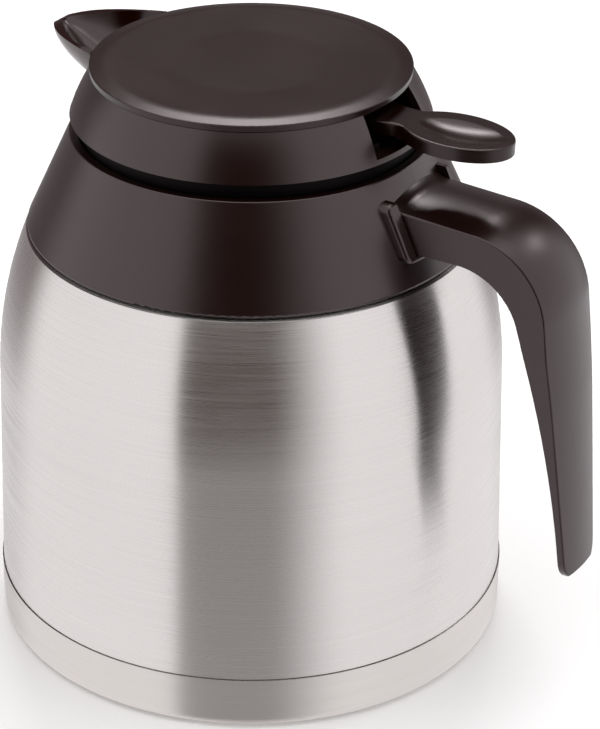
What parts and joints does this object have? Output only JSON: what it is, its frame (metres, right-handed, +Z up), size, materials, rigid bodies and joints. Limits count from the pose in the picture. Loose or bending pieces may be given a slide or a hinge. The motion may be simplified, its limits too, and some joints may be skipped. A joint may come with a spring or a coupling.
{
  "type": "vacuum carafe",
  "caption": "Double-walled brushed-steel vacuum carafe with a cone collar, open-ended handle, spouted screw-in lid and a thumb lever that lifts a sprung pouring valve.",
  "frame": {"origin": "centre of the underside, on the plane that it stands on", "axes": "+Z up along the body's axis, +X towards the handle and the thumb lever, -X towards the spout"},
  "size_m": [0.1701, 0.1384, 0.159],
  "materials": {
    "brushed_shell": "circumferentially brushed stainless steel",
    "brushed_base": "circumferentially brushed stainless steel",
    "liner_steel": "drawn stainless steel, satin",
    "satin_plastic": "brown-black moulded plastic, fine satin texture",
    "lever_plastic": "brown-black moulded plastic, semi-gloss",
    "black_plastic": "black moulded plastic",
    "silicone": "grey food-grade silicone",
    "foot_rubber": "black non-slip rubber",
    "seam_black": "black sealing strip",
    "hardware_steel": "plain stainless steel"
  },
  "bodies": {
    "carafe": {"outer_shell": "brushed_shell", "base_cup": "brushed_base", "inner_liner": "liner_steel", "jacket_base": "liner_steel", "vacuum_tip": "liner_steel", "foot_ring": "foot_rubber", "seam_ring": "seam_black", "collar": "satin_plastic", "neck_insert": "black_plastic", "neck_gasket": "silicone", "handle": "satin_plastic", "handle_cover": "satin_plastic", "handle_screws": "hardware_steel"},
    "lid_seal": {"stopper_seal": "silicone"},
    "lid": {"pour_ring": "satin_plastic", "lid_disc": "satin_plastic", "stopper": "black_plastic", "lid_screws": "hardware_steel", "lever_pin": "hardware_steel", "valve_guide": "black_plastic"},
    "lever": {"lever": "lever_plastic"},
    "valve": {"valve_stem": "black_plastic", "stem_clip": "hardware_steel", "valve_plug": "black_plastic", "valve_seal": "silicone", "valve_spring": "hardware_steel"}
  },
  "joints": [
    {"name": "lid_lift", "type": "slide", "parent": "carafe", "child": "lid_seal", "axis": [0, 0, 1], "range_m": [0, 0.08]},
    {"name": "lid_turn", "type": "hinge", "parent": "lid_seal", "child": "lid", "pos_m": [0, 0, 0.14], "axis": [0, 0, 1], "range_deg": [0, 90]},
    {"name": "lever_press", "type": "hinge", "parent": "lid", "child": "lever", "pos_m": [0.0335, 0, 0.15], "axis": [0, 1, 0], "range_deg": [0, 12], "stiffness_Nm_per_rad": 0.34, "springref_deg": -13.75},
    {"name": "valve_lift", "type": "slide", "parent": "lid", "child": "valve", "axis": [0, 0, 1], "range_m": [0, 0.00705], "deforming": ["valve_spring"]}
  ],
  "couplings": [
    {"joint": "valve_lift", "follows": "lever_press", "m_per_rad": 0.0335}
  ]
}
